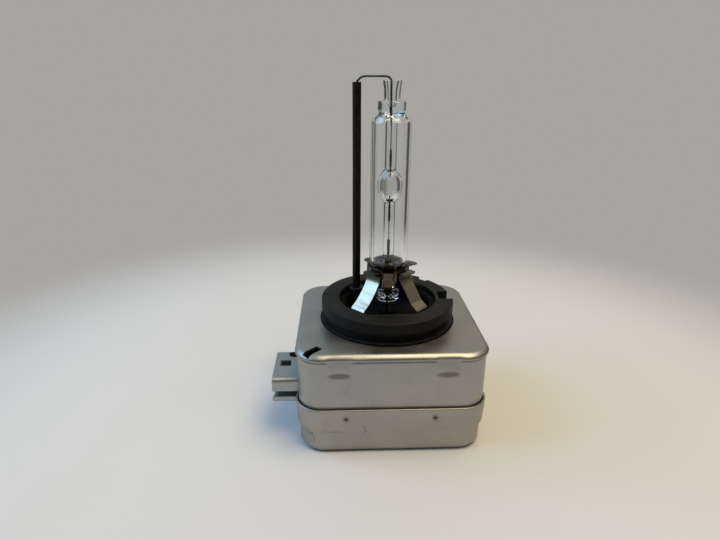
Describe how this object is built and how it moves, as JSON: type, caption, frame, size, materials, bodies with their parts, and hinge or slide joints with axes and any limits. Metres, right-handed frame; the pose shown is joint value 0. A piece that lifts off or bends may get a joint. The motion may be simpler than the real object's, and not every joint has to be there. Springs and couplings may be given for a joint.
{
  "type": "headlight bulb",
  "caption": "Gas discharge headlight bulb: glass burner on a keyed round black collar, above a square metal case with the igniter inside and a side plug socket.",
  "frame": {"origin": "where the lamp axis crosses the reference plane, the top face of the collar's locating flange", "axes": "+Z along the lamp axis towards the tip of the glass, -X the way the plug socket faces, -Y the viewer's side"},
  "size_m": [0.0492, 0.0414, 0.0806],
  "materials": {
    "quartz_glass": "clear polished quartz",
    "sleeve_glass": "clear polished glass with a faint blue tint at the fused ends",
    "tungsten": "drawn grey metal",
    "molybdenum": "thin rolled foil and wire, lightly oxidised",
    "lead_wire": "dark oxidised nickel-plated wire",
    "halide_salt": "frozen yellowish salt",
    "insulator_ceramic": "dark brown-black ceramic, matt",
    "holder_steel": "bright rolled spring steel",
    "collar_plastic": "matt black moulded plastic",
    "case_metal": "satin silver-grey pressed sheet",
    "shroud_metal": "satin silver-grey folded sheet",
    "socket_plastic": "black moulded plastic",
    "contact_metal": "tin-plated brass",
    "carrier_plastic": "dark brown moulded plastic",
    "ferrite": "dark grey sintered ferrite",
    "bobbin_plastic": "natural moulded plastic",
    "enamelled_copper": "varnished copper winding",
    "copper_strip": "bare copper strip",
    "gap_ceramic": "white ceramic",
    "gap_metal": "nickel-plated metal",
    "film_capacitor": "red-brown epoxy",
    "resistor_body": "blue-grey lacquer",
    "busbar_metal": "stamped tin-plated brass"
  },
  "bodies": {
    "root": {"arc_tube": "quartz_glass", "outer_sleeve": "sleeve_glass", "electrode_upper": "tungsten", "electrode_lower": "tungsten", "foil_upper": "molybdenum", "foil_lower": "molybdenum", "return_wire": "lead_wire", "supply_wire": "lead_wire", "return_insulator": "insulator_ceramic", "halide_salt_pool": "halide_salt", "clamp_band": "holder_steel", "holder_leg_front_left": "holder_steel", "holder_leg_front_right": "holder_steel", "holder_leg_rear_right": "holder_steel", "base_collar": "collar_plastic", "upper_shell": "case_metal", "lower_cover": "case_metal", "connector_shroud": "shroud_metal", "connector_body": "socket_plastic", "terminal_pin_front": "contact_metal", "terminal_pin_middle": "contact_metal", "terminal_pin_rear": "contact_metal", "igniter_carrier": "carrier_plastic", "ferrite_core": "ferrite", "transformer_bobbin": "bobbin_plastic", "secondary_winding": "enamelled_copper", "primary_winding": "copper_strip", "spark_gap_tube": "gap_ceramic", "spark_gap_cap_left": "gap_metal", "spark_gap_cap_right": "gap_metal", "pulse_capacitor": "film_capacitor", "capacitor_lead_front": "contact_metal", "capacitor_lead_rear": "contact_metal", "bleed_resistor": "resistor_body", "resistor_lead_upper": "contact_metal", "resistor_lead_lower": "contact_metal", "high_voltage_busbar": "busbar_metal", "return_busbar": "busbar_metal", "supply_busbar": "busbar_metal", "gap_busbar": "busbar_metal", "burner_contact": "contact_metal", "return_contact": "contact_metal"}
  },
  "joints": []
}
